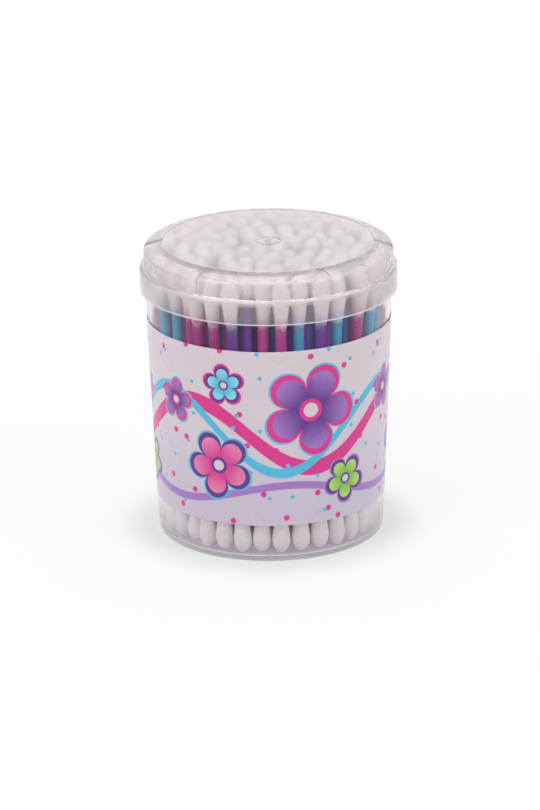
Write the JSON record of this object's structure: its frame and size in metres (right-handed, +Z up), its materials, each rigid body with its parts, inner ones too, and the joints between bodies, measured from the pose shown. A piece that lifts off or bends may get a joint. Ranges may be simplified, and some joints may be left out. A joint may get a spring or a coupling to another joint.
{
  "type": "cotton swab tub",
  "caption": "Clear tapered tub with a stepped lift-off lid and a wrap-round film label, full of cotton swabs that stand on end.",
  "frame": {"origin": "centre of the base, on the surface that the tub stands on", "axes": "+Z up along the tub's axis, -Y towards the front of the label, and the label's lap at +Y"},
  "size_m": [0.0692, 0.0692, 0.0807],
  "materials": {
    "clear_tub": "clear injection-moulded polystyrene, glossy",
    "clear_lid": "clear injection-moulded polystyrene, glossy, slightly hazy",
    "label_film": "printed polypropylene film, semi-gloss, with plain coloured shapes",
    "stick_pink": "extruded polypropylene tube, semi-gloss",
    "stick_violet": "extruded polypropylene tube, semi-gloss",
    "stick_blue": "extruded polypropylene tube, semi-gloss",
    "cotton": "wound white cotton, matt and soft"
  },
  "bodies": {
    "tub": {"fourth_row_blue_sticks": "stick_blue", "fourth_row_lower_tips": "cotton", "fourth_row_pink_sticks": "stick_pink", "fourth_row_upper_tips": "cotton", "fourth_row_violet_sticks": "stick_violet", "inner_row_blue_sticks": "stick_blue", "inner_row_lower_tips": "cotton", "inner_row_pink_sticks": "stick_pink", "inner_row_upper_tips": "cotton", "inner_row_violet_sticks": "stick_violet", "label": "label_film", "outer_row_blue_sticks": "stick_blue", "outer_row_lower_tips": "cotton", "outer_row_pink_sticks": "stick_pink", "outer_row_upper_tips": "cotton", "outer_row_violet_sticks": "stick_violet", "second_row_blue_sticks": "stick_blue", "second_row_lower_tips": "cotton", "second_row_pink_sticks": "stick_pink", "second_row_upper_tips": "cotton", "second_row_violet_sticks": "stick_violet", "third_row_blue_sticks": "stick_blue", "third_row_lower_tips": "cotton", "third_row_pink_sticks": "stick_pink", "third_row_upper_tips": "cotton", "third_row_violet_sticks": "stick_violet", "tub": "clear_tub"},
    "lid": {"lid": "clear_lid"}
  },
  "joints": [
    {"name": "lid_lift", "type": "slide", "parent": "tub", "child": "lid", "axis": [0, 0, 1], "range_m": [0, 0.04]}
  ]
}
